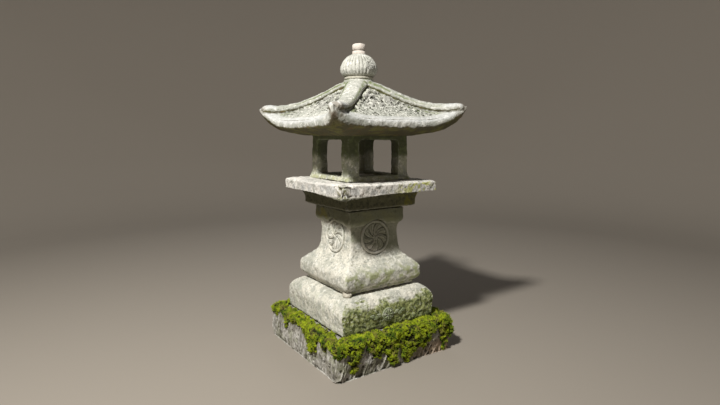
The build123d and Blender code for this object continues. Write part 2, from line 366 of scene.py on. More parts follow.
def dress(finish, colour, hollow_shade, wear, grain, depth):
    """Closes a stone's finish: painted shade in its hollows, wear on its edges, and its fine grain."""
    bend = finish.node_tree.nodes["surface"].outputs["Pointiness"]
    # The dark coat in the hollows is painted shade; the pale coat on the edges is wear.
    colour = coats(
        finish, colour,
        ((ramp(finish, bend, 0.5, 0.44), hollow_shade), (0.05, 0.045, 0.03)),
        ((ramp(finish, bend, 0.51, 0.58), wear), (0.8, 0.79, 0.74)),
    )
    shader = finish.node_tree.nodes["Principled BSDF"]
    finish.node_tree.links.new(colour, shader.inputs["Base Color"])
    coarse = times(finish, patches(finish, grain * 5), 1.5)
    fine = plus(finish, patches(finish, grain, roughness=0.75), coarse)
    relief = put(finish, "ShaderNodeBump", (("Height", fine), ("Distance", depth), ("Strength", 0.8)))
    finish.node_tree.links.new(relief.outputs["Normal"], shader.inputs["Normal"])


block_finish = new_finish("split_stone", 0.95)
colour = coat(block_finish, (0.27, 0.255, 0.22), mottle(block_finish, 0.06, 0.4, 0.62), (0.48, 0.465, 0.43))
streaks = mottle(block_finish, 0.012, 0.5, 0.66, stretch=(1, 1, 5))
colour = coats(
    block_finish, colour,
    ((streaks, 0.55), (0.66, 0.65, 0.63)),
    ((mottle(block_finish, 0.05, 0.52, 0.6), 0.5), (0.23, 0.24, 0.15)),
)
wet_side = times(
    block_finish, facing(block_finish, (0, -1, 0), 0.3, 0.8), mottle(block_finish, 0.04, 0.4, 0.56),
)
colour = coat(block_finish, colour, (wet_side, 0.75), (0.15, 0.15, 0.095))
furrow_dirt = mottle(block_finish, 0.016, 0.52, 0.63, stretch=(1, 1, 4))
colour = coat(block_finish, colour, (furrow_dirt, 0.65), (0.12, 0.115, 0.1))
brown = times(block_finish, along(block_finish, "X", 0.0, 0.2), along(block_finish, "Z", 0.07, 0.02))
colour = coats(
    block_finish, colour,
    ((brown, 0.7), (0.42, 0.29, 0.2)),
    ((mottle(block_finish, 0.007, 0.6, 0.68), 0.6), (0.07, 0.06, 0.05)),
)
dress(block_finish, colour, 0.85, 0.35, 0.0012, 0.0012)
block.data.materials.append(block_finish)
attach(block, "base_stones")
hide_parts("foundation_block")


# ---- Plinth --------------------------------------------------------------------------------------
# A square cast stone bedded on the block, with a full round shoulder and a flat table. A small round
# flower between two sprigs is carved on its front, which is the side where green growth is thickest.
plinth_low, plinth_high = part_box("plinth")
plinth_half = plinth_high.x
plinth_top = plinth_high.z


def curve(start, end, leave, arrive, steps=8):
    """Points from just after start to end, leaving and arriving in the given directions."""
    points = []
    for i in range(1, steps + 1):
        t = i / steps
        from_start, from_leave, from_end, from_arrive = (
            2 * t**3 - 3 * t**2 + 1, t**3 - 2 * t**2 + t, 3 * t**2 - 2 * t**3, t**3 - t**2,
        )
        points.append(tuple(
            from_start * s + from_leave * l + from_end * e + from_arrive * a
            for s, l, e, a in zip(start, leave, end, arrive)
        ))
    return points


def add_block(centre, size, round_axis=None, radius=0.0):
    """A box, with the edges along one axis rounded."""
    bpy.ops.object.select_all(action="DESELECT")
    bpy.ops.mesh.primitive_cube_add(size=1, location=centre, scale=size)
    tool = bpy.context.object
    bpy.ops.object.transform_apply()
    if radius:
        bpy.ops.object.mode_set(mode="EDIT")
        bpy.ops.mesh.select_mode(type="EDGE")
        bpy.ops.mesh.select_all(action="DESELECT")
        bpy.ops.object.mode_set(mode="OBJECT")
        for edge in tool.data.edges:
            a, b = (tool.data.vertices[i].co for i in edge.vertices)
            edge.select = abs((a - b)[round_axis]) > 1e-4
        bpy.ops.object.mode_set(mode="EDIT")
        bpy.ops.mesh.bevel(offset=radius, segments=5, affect="EDGES")
        bpy.ops.object.mode_set(mode="OBJECT")
    return tool


def add_drum(start, end, radius, sides=64):
    """A round bar between two points."""
    start, end = Vector(start), Vector(end)
    bpy.ops.object.select_all(action="DESELECT")
    bpy.ops.mesh.primitive_cylinder_add(
        vertices=sides, radius=radius, depth=(end - start).length, location=(start + end) / 2,
        rotation=(end - start).to_track_quat("Z", "Y").to_euler(),
    )
    bpy.ops.object.transform_apply()
    return bpy.context.object


def cut(piece, tool):
    """Cuts a tool's shape out of a piece."""
    shape_with(piece, "BOOLEAN", object=tool, operation="DIFFERENCE", solver="EXACT")
    bpy.data.objects.remove(tool)


def weld(piece, *parts):
    """Makes parts one object with a piece; remesh then joins them into one skin."""
    bpy.ops.object.select_all(action="DESELECT")
    for part in (*parts, piece):
        part.select_set(True)
    bpy.context.view_layer.objects.active = piece
    bpy.ops.object.join()


def weather(piece, swell, erosion, grit):
    """Wears a stone: a slow swell over its faces, eroded hollows, and gritty loss; each a depth in metres."""
    shape_with(piece, "DISPLACE", texture=clouds(0.09), strength=swell, mid_level=0.5)
    shape_with(piece, "DISPLACE", texture=clouds(0.022, 4), strength=erosion, mid_level=0.55)
    shape_with(piece, "DISPLACE", texture=clouds(0.006, 3), strength=grit, mid_level=0.6)
    shape_with(piece, "DISPLACE", texture=holes(0.011, 0.22), strength=grit, mid_level=1.0)


plinth = square_stone(
    "plinth_stone",
    (
        (plinth_half - 0.003, plinth_low.z),
        (plinth_half, plinth_low.z + 0.062),
        *curve((plinth_half, plinth_low.z + 0.062), (0.146, plinth_top), (0, 0.06), (-0.055, 0.008)),
    ),
    0.012,
)
remesh(plinth, 0.003, 5)
weather(plinth, 0.005, 0.005, 0.0024)
front = weights(
    plinth, "front", lambda point, normal: -1.5 * normal.y - 0.4 if point.z < plinth_top - 0.012 else 0,
)
shape_with(plinth, "DISPLACE", texture=clouds(0.016, 6), strength=0.005, mid_level=0.55, vertex_group=front)
shape_with(plinth, "DISPLACE", texture=crags(0.02), strength=0.002, mid_level=0.6, vertex_group=front)
bpy.ops.object.shade_smooth()

pale_stone = (0.67, 0.65, 0.57)
dull_stone = (0.46, 0.46, 0.4)


def cast_stone(name, pale=pale_stone, dull=dull_stone):
    """Bare cast stone with grey lichen and dark specks: the material, and its colour so far."""
    finish = new_finish(name, 0.92)
    made = coat(finish, pale, mottle(finish, 0.07, 0.38, 0.62), dull)
    made = coats(
        finish, made,
        ((mottle(finish, 0.022, 0.5, 0.6, detail=8.0), 0.7), (0.36, 0.37, 0.33)),
        ((mottle(finish, 0.012, 0.54, 0.62), 0.6), (0.8, 0.79, 0.74)),
        ((mottle(finish, 0.0045, 0.57, 0.66), 0.75), (0.13, 0.13, 0.1)),
    )
    return finish, made


plinth_finish, colour = cast_stone("plinth_stone")
green_front = times(
    plinth_finish,
    facing(plinth_finish, (0, -1, 0), 0.55, 0.85),
    ramp(
        plinth_finish,
        plus(
            plinth_finish, patches(plinth_finish, 0.05),
            times(plinth_finish, along(plinth_finish, "Z", 0.225, 0.15), 0.35),
        ),
        0.5, 0.68,
    ),
)
colour = coats(
    plinth_finish, colour,
    ((green_front, 0.85), (0.27, 0.31, 0.08)),
    ((green_front, mottle(plinth_finish, 0.011, 0.46, 0.56), 0.85), (0.08, 0.1, 0.035)),
    ((green_front, mottle(plinth_finish, 0.008, 0.57, 0.63), 0.8), (0.62, 0.64, 0.5)),
)
faint = times(
    plinth_finish, facing(plinth_finish, (-1, 0, 0), 0.5, 0.8),
    mottle(plinth_finish, 0.02, 0.5, 0.66, stretch=(1, 1, 3)), 0.45,
)
colour = coat(plinth_finish, colour, faint, (0.43, 0.47, 0.36))
dress(plinth_finish, colour, 0.6, 0.3, 0.0011, 0.001)
plinth.data.materials.append(plinth_finish)
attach(plinth, "base_stones")
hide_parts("plinth")


# ---- Pedestal ------------------------------------------------------------------------------------
# The tallest stone: a rounded foot over a set-back course, a waist that flares into it, and a head
# that swells out again. A round field is sunk in each side of the waist, under an arch in the head.
pedestal_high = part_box("pedestal")[1]
platform_low, platform_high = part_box("platform")
box_low, box_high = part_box("light_box")
bed_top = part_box("mortar_bed_upper")[1].z
head_tenon = (0.040, 0.025)
roundel_height = bed_top + 0.165
roundel_radius = 0.056
waist_half_there = 0.0968
waist_lean = 0.08
head_dip = bed_top + 0.207    # the head swells out lower than this at the corners


def from_bed(*outline):
    """An outline whose heights are measured from the mortar bed."""
    return [(half, bed_top + up) for half, up in outline]


pedestal = square_stone(
    "pedestal_stone",
    from_bed(
        (0.134, 0.0),
        (0.134, 0.010),
        (0.139, 0.013),
        *curve((0.139, 0.013), (0.152, 0.030), (0.016, 0.002), (0, 0.02), 5),
        (0.152, 0.050),
        *curve((0.152, 0.050), (0.1185, 0.090), (0.004, 0.05), (-0.03, 0.02), 8),
        (0.1175, 0.0945),
        (0.1115, 0.0965),
        *curve((0.1115, 0.0965), (0.0985, 0.128), (-0.012, 0.01), (-0.002, 0.03), 6),
        (0.0935, 0.205),
        *curve((0.0935, 0.205), (0.1095, 0.226), (0.022, 0.008), (0, 0.018), 6),
        (0.1095, 0.259),
    ),
    0.007,
)
turns = (0, 90, 180, 270)
for turn in turns:
    outward = Vector((math.sin(math.radians(turn)), -math.cos(math.radians(turn)), 0))
    out = (outward + Vector((0, 0, waist_lean))).normalized()
    middle = outward * waist_half_there + Vector((0, 0, roundel_height))
    cut(pedestal, add_drum(middle - out * 0.004, middle + out * 0.04, roundel_radius + 0.003))
weld(
    pedestal,
    add_drum((0, 0, platform_low.z - 0.01), (0, 0, platform_low.z + head_tenon[1]), head_tenon[0]),
)
remesh(pedestal, 0.0026, 4)
for vertex in pedestal.data.vertices:
    x, y, up = vertex.co
    corner = min(abs(x), abs(y)) / max(abs(x), abs(y), 0.001)
    if corner > 0.55 and up > roundel_height:
        swell = 0.007 * (corner - 0.55) / 0.45 * math.exp(-(((up - head_dip) / 0.016) ** 2))
        vertex.co += Vector((x, y, 0)).normalized() * swell
weather(pedestal, 0.004, 0.0042, 0.002)
bpy.ops.object.shade_smooth()

pedestal_finish, colour = cast_stone("pedestal_stone")
# Painted shade under the slab over green algae stain: the head darkens towards its top.
shade_and_stain_under_slab = ramp(
    pedestal_finish,
    plus(
        pedestal_finish, along(pedestal_finish, "Z", 0.40, 0.47),
        times(pedestal_finish, patches(pedestal_finish, 0.05), 0.8),
    ),
    0.75, 1.25,
)
colour = coats(
    pedestal_finish, colour,
    ((shade_and_stain_under_slab, 0.9), (0.13, 0.135, 0.08)),
    ((shade_and_stain_under_slab, mottle(pedestal_finish, 0.04, 0.5, 0.62), 0.6), (0.22, 0.2, 0.05)),
)
shade_side = times(
    pedestal_finish, facing(pedestal_finish, (0.6, -0.8, 0), 0.6, 0.95),
    mottle(pedestal_finish, 0.03, 0.47, 0.6), along(pedestal_finish, "Z", 0.34, 0.3),
)
colour = coat(pedestal_finish, colour, (shade_side, 0.6), (0.4, 0.42, 0.24))
# Painted shadow of the slab across the front of the waist, its edge falling away from the left corner, over a
# dark green stain.
slab_shadow_and_stain = ramp(
    pedestal_finish,
    plus(
        pedestal_finish,
        along(pedestal_finish, "Z", bed_top + 0.1, bed_top + 0.19),
        times(pedestal_finish, along(pedestal_finish, "X", -0.1, 0.06), 0.6),
        times(pedestal_finish, patches(pedestal_finish, 0.04), 0.4),
    ),
    0.75, 1.05,
)
slab_shadow_and_stain = times(pedestal_finish, slab_shadow_and_stain, facing(pedestal_finish, (0, -1, 0), 0.4, 0.8))
colour = coat(pedestal_finish, colour, (slab_shadow_and_stain, 0.75), (0.2, 0.21, 0.14))
green_foot = times(
    pedestal_finish,
    facing(pedestal_finish, (0, -1, 0), 0.3, 0.7),
    along(pedestal_finish, "Z", bed_top + 0.095, bed_top + 0.05),
    mottle(pedestal_finish, 0.03, 0.44, 0.6),
)
colour = coat(pedestal_finish, colour, (green_foot, 0.75), (0.27, 0.3, 0.13))
dress(pedestal_finish, colour, 0.7, 0.3, 0.0011, 0.001)
pedestal.data.materials.append(pedestal_finish)
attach(pedestal, "base_stones")
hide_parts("pedestal")


# ---- Roundels on the waist -----------------------------------------------------------------------
# Each sunk field holds a carved disc: a plain raised ring, and inside it a swirl of curved petals
# round a boss. They are part of the pedestal's casting.
def only(piece):
    """Selects one piece and nothing else."""
    bpy.ops.object.select_all(action="DESELECT")
    piece.select_set(True)
    bpy.context.view_layer.objects.active = piece


def turned_copy(piece, name, turn=0):
    """A copy of a piece with its own mesh, turned about the lantern's middle by some degrees."""
    only(piece)
    bpy.ops.object.duplicate()
    copy = bpy.context.object
    copy.name = name
    copy.rotation_euler = (0, 0, math.radians(turn))
    bpy.ops.object.transform_apply()
    return copy


def spin_profile(name, profile, steps):
    """A round piece turned about the Z axis from points (radius, height)."""
    bpy.ops.object.select_all(action="DESELECT")
    bpy.ops.mesh.primitive_plane_add(size=0.01, location=(0, 0, 0))
    piece = bpy.context.object
    piece.name = name
    bpy.ops.object.mode_set(mode="EDIT")
    bpy.ops.mesh.select_mode(type="VERT")
    bpy.ops.mesh.merge(type="CENTER")
    start = profile[0]
    bpy.ops.transform.translate(value=(start[0], 0, start[1]))
    for radius, up in profile[1:]:
        bpy.ops.mesh.extrude_vertices_move(
            TRANSFORM_OT_translate={"value": (radius - start[0], 0, up - start[1])},
        )
        start = (radius, up)
    bpy.ops.mesh.select_all(action="SELECT")
    bpy.ops.mesh.spin(steps=steps, angle=math.tau, center=(0, 0, 0), axis=(0, 0, 1))
    bpy.ops.mesh.select_all(action="SELECT")
    bpy.ops.mesh.remove_doubles(threshold=1e-5)
    bpy.ops.mesh.normals_make_consistent(inside=False)
    bpy.ops.object.mode_set(mode="OBJECT")
    return piece


petals = 9
field_radius = roundel_radius - 0.009
first_roundel = spin_profile(
    "roundel_0",
    [(0.0, -0.004), (roundel_radius, -0.004), (roundel_radius, 0.003), (roundel_radius - 0.002, 0.0055)]
    + [(roundel_radius - 0.007, 0.0055), (field_radius, 0.001)]
    + [(field_radius * (1 - i / 26), 0.0) for i in range(1, 27)],
    160,
)
for vertex in first_roundel.data.vertices:
    reach = math.hypot(vertex.co.x, vertex.co.y)
    if vertex.co.z >= 0 and reach < field_radius + 0.0005:
        swirl = math.atan2(vertex.co.y, vertex.co.x) * petals + reach * 130
        ridge = abs(math.sin(swirl / 2)) ** 0.8
        veins = 0.5 + 0.5 * math.sin(swirl * 3)
        fade = min(1.0, reach / 0.012) * min(1.0, max(0.0, field_radius + 0.001 - reach) / 0.005)
        boss = max(0.0, 1 - (reach / 0.012) ** 2)
        vertex.co.z += (0.0062 * ridge + 0.0018 * veins - 0.003) * fade + 0.004 * boss
shape_with(first_roundel, "DISPLACE", texture=clouds(0.007, 4), strength=0.0022, mid_level=0.5)
bpy.ops.object.shade_smooth()
first_roundel.rotation_euler = (math.pi / 2 - math.atan(waist_lean), 0, 0)
first_roundel.location = (0, 0.0025 - waist_half_there, roundel_height)
bpy.ops.object.transform_apply()
other_roundels = [turned_copy(first_roundel, f"roundel_{turn}", turn) for turn in turns[1:]]
for roundel in (first_roundel, *other_roundels):
    roundel.data.materials.append(pedestal_finish)
    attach(roundel, "base_stones")


# ---- Platform ------------------------------------------------------------------------------------
# A broad square slab over a cove and a plain band, cast in one with the low pad that holds the light
# box in place. Round grey lichens grow along its edge and its front corner is broken and pitted.
slab_half = platform_high.x
front_corner = Vector((-slab_half, -slab_half))
slab_top = box_low.z
slab_under = slab_top - 0.038
pad_top = platform_high.z
pad_half = 0.0755
neck_half = 0.116
platform = square_stone(
    "platform_stone",
    (
        (neck_half, pedestal_high.z),
        (neck_half, slab_under - 0.052),
        (0.137, slab_under - 0.048),
        (0.1375, slab_under - 0.029),
        *curve((0.1375, slab_under - 0.028), (0.148, slab_under), (0.001, 0.024), (0.012, 0.006), 6),
        (slab_half - 0.001, slab_under + 0.001),
        (slab_half, slab_top - 0.006),
        (slab_half - 0.014, slab_top - 0.0015),
        (pad_half + 0.004, slab_top),
        (pad_half, pad_top - 0.002),
        (pad_half - 0.003, pad_top),
    ),
    0.006,
)
remesh(platform, 0.003, 4)
for vertex in platform.data.vertices:
    x, y, up = vertex.co
    near = math.exp(-((front_corner - vertex.co.xy).length / 0.1) ** 2)
    if up > slab_under - 0.003 and max(abs(x), abs(y)) > 0.13:
        vertex.co.z += near * (0.004 if up > slab_under + 0.02 else -0.009)
weather(platform, 0.004, 0.0045, 0.002)
broken = weights(
    platform,
    "broken_corner",
    lambda point, normal: 1.9 - 30 * (front_corner - point.xy).length if point.z > slab_under else 0,
)
shape_with(
    platform, "DISPLACE", texture=clouds(0.012, 4), strength=0.016, mid_level=0.75, vertex_group=broken,
)
shape_with(
    platform, "DISPLACE", texture=holes(0.008, 0.4), strength=0.004, mid_level=1.0, vertex_group=broken,
)
edge = weights(
    platform, "slab_edge", lambda point, normal: 1.0 if slab_under < point.z < slab_top - 0.004 else 0,
)
shape_with(
    platform, "DISPLACE", texture=clouds(0.007, 4), strength=0.0035, mid_level=0.6, vertex_group=edge,
)
bpy.ops.object.shade_smooth()

platform_finish, colour = cast_stone("platform_stone", (0.72, 0.69, 0.64), (0.54, 0.52, 0.49))
place = platform_finish.node_tree.nodes["place"].outputs["Object"]
rings = put(
    platform_finish, "ShaderNodeTexVoronoi", (("Vector", place), ("Scale", 26), ("Randomness", 0.8)),
)
wobble = times(platform_finish, patches(platform_finish, 0.008), 0.35)
spot = ramp(platform_finish, plus(platform_finish, rings.outputs["Distance"], wobble), 0.62, 0.5)
side_only = times(
    platform_finish, along(platform_finish, "Z", slab_under, slab_under + 0.006),
    facing(platform_finish, (0, 0, 1), 0.7, 0.4),
)
colour = coat(platform_finish, colour, (spot, side_only, 0.55), (0.42, 0.43, 0.43))
grit = mottle(platform_finish, 0.005, 0.52, 0.62)
colour = coat(platform_finish, colour, (spot, side_only, grit, 0.6), (0.12, 0.12, 0.1))
right_end = times(
    platform_finish,
    facing(platform_finish, (0, -1, 0), 0.4, 0.8),
    along(platform_finish, "X", -0.03, 0.1),
    mottle(platform_finish, 0.018, 0.47, 0.56),
)
colour = coat(platform_finish, colour, (right_end, 0.8), (0.4, 0.42, 0.06))
corner_dirt = times(
    platform_finish,
    ramp(
        platform_finish,
        plus(
            platform_finish, along(platform_finish, "X", -0.13, -0.187),
            along(platform_finish, "Y", -0.13, -0.187),
        ),
        1.3, 1.85,
    ),
    mottle(platform_finish, 0.008, 0.45, 0.55),
)
colour = coat(platform_finish, colour, (corner_dirt, 0.85), (0.17, 0.17, 0.06))
# Painted shade under the slab's edge, on the cove and neck, over dark green stain; a yellow stain on its
# right.
below = along(platform_finish, "Z", slab_under + 0.003, slab_under - 0.004)
colour = coats(
    platform_finish, colour,
    ((below, 0.97), (0.1, 0.1, 0.055)),
    ((below, mottle(platform_finish, 0.012, 0.5, 0.62), 0.7), (0.045, 0.045, 0.03)),
)
yellow = times(
    platform_finish, below, along(platform_finish, "X", 0.02, 0.12),
    mottle(platform_finish, 0.03, 0.47, 0.6),
)
colour = coat(platform_finish, colour, (yellow, 0.75), (0.2, 0.19, 0.03))
dress(platform_finish, colour, 0.7, 0.3, 0.0011, 0.001)
platform.data.materials.append(platform_finish)
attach(platform, "platform_stone")
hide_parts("platform")


# ---- Light box -----------------------------------------------------------------------------------
# The chamber for the flame: one stone hollowed from below, with a window with round corners through
# each wall, so that four posts are left. The posts spread a little at their feet.
box_half = 0.1175
box_foot = box_high.x
box_top = box_high.z
box_inside = 0.0775
window_half = 0.0765
window_low = box_low.z + 0.015
window_top = window_low + 0.115
window_round = 0.013
light_box = square_stone(
    "light_box_stone",
    (
        (box_foot, box_low.z),
        (box_foot - 0.001, box_low.z + 0.006),
        *curve(
            (box_foot - 0.001, box_low.z + 0.006), (box_half, box_low.z + 0.028),
            (-0.006, 0.002), (0, 0.02), 4,
        ),
        (box_half, box_top),
    ),
    0.009,
)
inside = add_block((0, 0, box_low.z + 0.05), (2 * box_inside, 2 * box_inside, 0.22))
cut(light_box, inside)
for axis in (0, 1):
    for top, radius in ((window_top, window_round), (window_top - 0.03, 0.004)):
        span = [2 * window_half, 2 * window_half, top - window_low]
        span[axis] = 0.4
        cut(light_box, add_block((0, 0, (window_low + top) / 2), span, axis, radius))
remesh(light_box, 0.0025, 5)
weather(light_box, 0.005, 0.0045, 0.0016)
bpy.ops.object.shade_smooth()


def from_middle(finish):
    """The distances from the lantern's middle along X and along Y."""
    split = put(
        finish, "ShaderNodeSeparateXYZ", (("Vector", finish.node_tree.nodes["place"].outputs["Object"]),),
    )
    return [
        put(finish, "ShaderNodeMath", ((0, split.outputs[axis]),), operation="ABSOLUTE").outputs[0]
        for axis in "XY"
    ]


box_finish, colour = cast_stone("light_box_stone", (0.56, 0.56, 0.44), (0.36, 0.38, 0.28))
# Painted shade from the roof over the upper posts, with dark green stain: darker towards the top.
roof_shade_and_stain = ramp(
    box_finish,
    plus(
        box_finish, along(box_finish, "Z", box_low.z + 0.03, box_top - 0.01),
        times(box_finish, patches(box_finish, 0.06), 0.9),
    ),
    0.62, 1.05,
)
colour = coats(
    box_finish, colour,
    ((roof_shade_and_stain, 0.93), (0.09, 0.105, 0.05)),
    ((roof_shade_and_stain, mottle(box_finish, 0.03, 0.5, 0.62), 0.5), (0.2, 0.24, 0.11)),
)
moist = times(
    box_finish, along(box_finish, "Z", box_low.z + 0.022, box_low.z), mottle(box_finish, 0.02, 0.45, 0.6),
)
colour = coat(box_finish, colour, (moist, 0.5), (0.3, 0.3, 0.06))
# Painted shade on the inner faces of the walls and posts, darkest deepest inside.
inner_shade = ramp(
    box_finish, combine(box_finish, "MAXIMUM", *from_middle(box_finish)), box_half - 0.008, box_half - 0.02,
)
colour = coat(box_finish, colour, (inner_shade, 0.5), (0.12, 0.12, 0.09))
dress(box_finish, colour, 0.6, 0.25, 0.0011, 0.001)
light_box.data.materials.append(box_finish)
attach(light_box, "light_box_stone")
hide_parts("light_box")


# ---- Roof ----------------------------------------------------------------------------------------
# One heavy stone: four slopes that swing up to pointed corners, with a broad round rib down each
# corner ending in a blunt nose. Its underside is green from damp and carries painted shade.
soffit_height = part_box("roof")[0].z
finial_low, finial_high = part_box("finial")
crown_height = finial_high.z - 0.115
eave_half = 0.232
tip_half = 0.248
slope_top = crown_height - 0.015
slope_start = 0.03    # from the middle, where the slopes begin to fall
slope_run = eave_half - slope_start
slope_drop = 0.122
tip_rise = 0.046
front_sag = 0.012
soffit_share = 0.543


def roof_top(out, corner):
    """Height of the slopes: out is metres from the middle, corner is 0 mid-side and 1 on the corner."""
    down = max(0.0, (out - slope_start) / slope_run)
    return slope_top - slope_drop * down * (1 + 0.39 * (1 - down)) + tip_rise * down**3 * corner**4


def settle_front_corner(piece):
    """The front corner was cast a little lower than the others."""
    for vertex in piece.data.vertices:
        x, y = vertex.co.xy
        if x < 0 and y < 0 and vertex.co.z > soffit_height + 0.03:
            out = max(-x, -y)
            down = max(0.0, (out - slope_start) / slope_run)
            vertex.co.z -= front_sag * down**3 * (min(-x, -y) / out) ** 4


def roof_under(share, corner, swing):
    """Height of the underside: share is 0 in the middle, 1 at the eave; a high swing lifts only the tip."""
    rise = max(0.0, (share - soffit_share) / (1 - soffit_share))
    return soffit_height + 0.02 * rise + 0.006 * rise * corner + 0.054 * rise**5 * corner**swing


bpy.ops.object.select_all(action="DESELECT")
bpy.ops.mesh.primitive_cube_add(size=2, location=(0, 0, 0))
roof = bpy.context.object
roof.name = "roof_stone"
bpy.ops.object.mode_set(mode="EDIT")
bpy.ops.mesh.subdivide(number_cuts=47)
bpy.ops.object.mode_set(mode="OBJECT")
for vertex in roof.data.vertices:
    x, y, up = vertex.co
    share = max(abs(x), abs(y))
    corner = min(abs(x), abs(y)) / share if share > 0 else 0.0
    belly = 0.003 * (1 - up * up) if share > 0.999 else 0
    half = eave_half + (tip_half - eave_half) * corner**4 * share**2 + belly
    front = x < 0 and y < 0
    low = roof_under(share, corner, 10 if front else 4)
    high = max(roof_top(share * half, corner), low + 0.024 if front else low)
    vertex.co = (x * half, y * half, low + (high - low) * (up + 1) / 2)

rib_stops = (0.0, 0.12, 0.26, 0.40, 0.54, 0.68, 0.80, 0.90, 0.955, 0.985, 1.0)
rib_half = (0.038, 0.034, 0.031, 0.029, 0.0275, 0.026, 0.0245, 0.023, 0.020, 0.013, 0.005)
rib_lift = (-0.004, 0.001, 0.002, 0.002, 0.002, 0.001, 0.0, -0.001, -0.003, -0.005, -0.007)
rib_deep = (0.016, 0.018, 0.018, 0.0175, 0.017, 0.0165, 0.016, 0.016, 0.0145, 0.010, 0.004)
rib_start, rib_end = 0.028, 0.244
middle_line = []
for stop, lift in zip(rib_stops, rib_lift):
    out = rib_start + (rib_end - rib_start) * stop
    middle_line.append((out * math.sqrt(2), roof_top(out, 1.0) + lift))
bpy.ops.object.select_all(action="DESELECT")
bpy.ops.mesh.primitive_circle_add(
    vertices=20, radius=1, fill_type="NGON",
    location=(middle_line[0][0], 0, middle_line[0][1]), rotation=(0, math.pi / 2, 0),
)
rib = bpy.context.object
bpy.ops.object.transform_apply()
bpy.ops.object.mode_set(mode="EDIT")
bpy.ops.transform.resize(
    value=(1, rib_half[0], rib_deep[0]), center_override=(middle_line[0][0], 0, middle_line[0][1]),
)
for i in range(1, len(middle_line)):
    (x0, z0), (x1, z1) = middle_line[i - 1], middle_line[i]
    bpy.ops.mesh.extrude_region_move(TRANSFORM_OT_translate={"value": (x1 - x0, 0, z1 - z0)})
    bpy.ops.transform.resize(
        value=(1, rib_half[i] / rib_half[i - 1], rib_deep[i] / rib_deep[i - 1]),
        center_override=(x1, 0, z1),
    )
bpy.ops.mesh.select_all(action="SELECT")
bpy.ops.mesh.normals_make_consistent(inside=False)
bpy.ops.transform.rotate(value=-math.radians(45), orient_axis="Z", center_override=(0, 0, 0))
bpy.ops.object.mode_set(mode="OBJECT")
other_ribs = [turned_copy(rib, "rib", turn) for turn in turns[1:]]
crown_block = add_drum((0, 0, crown_height - 0.06), (0, 0, crown_height), 0.049)
weld(roof, rib, *other_ribs, crown_block)
settle_front_corner(roof)
remesh(roof, 0.003, 4)
weather(roof, 0.004, 0.0045, 0.0018)
bpy.ops.object.shade_smooth()


def roof_stone(name):
    """The roof's stone: pale above, green beside the ribs, painted shade with green and brown stain below,
    and brown on the rib noses.
    """
    finish, made = cast_stone(name, (0.48, 0.48, 0.44), (0.32, 0.33, 0.29))
    sides = from_middle(finish)
    reach = combine(finish, "MAXIMUM", *sides)
    apart = combine(finish, "SUBTRACT", reach, combine(finish, "MINIMUM", *sides))
    beside = times(
        finish,
        ramp(finish, apart, 0.028, 0.038),
        ramp(finish, apart, 0.062, 0.046),
        ramp(finish, reach, 0.228, 0.2),
        mottle(finish, 0.03, 0.3, 0.5),
        facing(finish, (0, 0, 1), 0.3, 0.6),
    )
    made = coat(finish, made, (beside, 0.9), (0.14, 0.17, 0.07))
    band = times(finish, ramp(finish, reach, 0.205, 0.222), facing(finish, (0, 0, 1), 0.0, 0.5))
    made = coat(finish, made, (band, 0.45), (0.62, 0.63, 0.65))
    # Painted shade on the underside, with green and brown stain over it.
    under = facing(finish, (0, 0, -1), 0.15, 0.5)
    made = coats(
        finish, made,
        ((under, 0.95), (0.1, 0.092, 0.048)),
        ((under, mottle(finish, 0.04, 0.46, 0.6), 0.7), (0.21, 0.21, 0.07)),
        ((under, mottle(finish, 0.02, 0.55, 0.66), 0.6), (0.17, 0.1, 0.06)),
    )
    nose = times(finish, ramp(finish, plus(finish, *sides), 0.44, 0.475), mottle(finish, 0.02, 0.42, 0.56))
    made = coat(finish, made, (nose, 0.7), (0.2, 0.17, 0.13))
    return finish, made


roof_finish, colour = roof_stone("roof_stone")
dress(roof_finish, colour, 0.55, 0.3, 0.0011, 0.001)
roof.data.materials.append(roof_finish)
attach(roof, "roof_stone")
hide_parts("roof")


# ---- Pitted fields on the roof -------------------------------------------------------------------
# Between its ribs and its eave each slope carries a raised field, stippled all over with small pits
# that are painted dark as shade. They were pressed into the mould, so they are part of the roof's casting.
field_high, field_low = 0.064, 0.226
field_inset = 0.045
field_rise = 0.0045
field_cuts = (230, 118)
pitted_finish, colour = roof_stone("pitted_stone")
pit_shade = put(pitted_finish, "ShaderNodeAttribute", attribute_name="pit").outputs["Fac"]
# Green growth on the upper field, then painted shade in the pits, by how deep each one sank.
colour = coats(
    pitted_finish, colour,
    (
        (along(pitted_finish, "Z", 0.8, 0.88), mottle(pitted_finish, 0.03, 0.4, 0.6), 0.5),
        (0.35, 0.37, 0.27),
    ),
    (ramp(pitted_finish, pit_shade, 0.24, 0.5), (0.028, 0.03, 0.018)),
)
dress(pitted_finish, colour, 0.5, 0.35, 0.0011, 0.001)

bpy.ops.object.select_all(action="DESELECT")
bpy.ops.mesh.primitive_grid_add(
    x_subdivisions=field_cuts[0], y_subdivisions=field_cuts[1], size=2, location=(0, 0, 0),
)
field = bpy.context.object
field.name = "pitted_field_0"
for vertex in field.data.vertices:
    across, along_slope = vertex.co.x, (1 - vertex.co.y) / 2
    out = field_high + (field_low - field_high) * along_slope
    half = out - field_inset - 0.008 * (1 - along_slope) ** 6 + 0.012 * along_slope
    corner = abs(across) * half / out
    border = min((1 - abs(across)) * half, along_slope * (field_low - field_high) + 0.002)
    rise = field_rise * min(1.0, border / 0.006) - 0.002 * max(0.0, 1 - border / 0.004)
    lip = 0.004 * max(0.0, along_slope - 0.93) / 0.07
    vertex.co = (across * half, -out, roof_top(out, corner) + rise - lip)
flat = [vertex.co.copy() for vertex in field.data.vertices]


def stippled(point, normal):
    """1 over the field, falling to 0 at its side and lower borders."""
    from_rib = (-point.y - field_inset + 0.006 - abs(point.x)) / 0.008
    from_eave = (0.214 + point.y) / 0.02
    return min(1.0, max(0.0, from_rib)) * min(1.0, max(0.0, from_eave))


def stroked(point, normal):
    """1 over the upper part of the field, where the pits run together into strokes."""
    return min(1.0, (0.17 + point.y) / 0.03) if -point.y - abs(point.x) > field_inset else 0


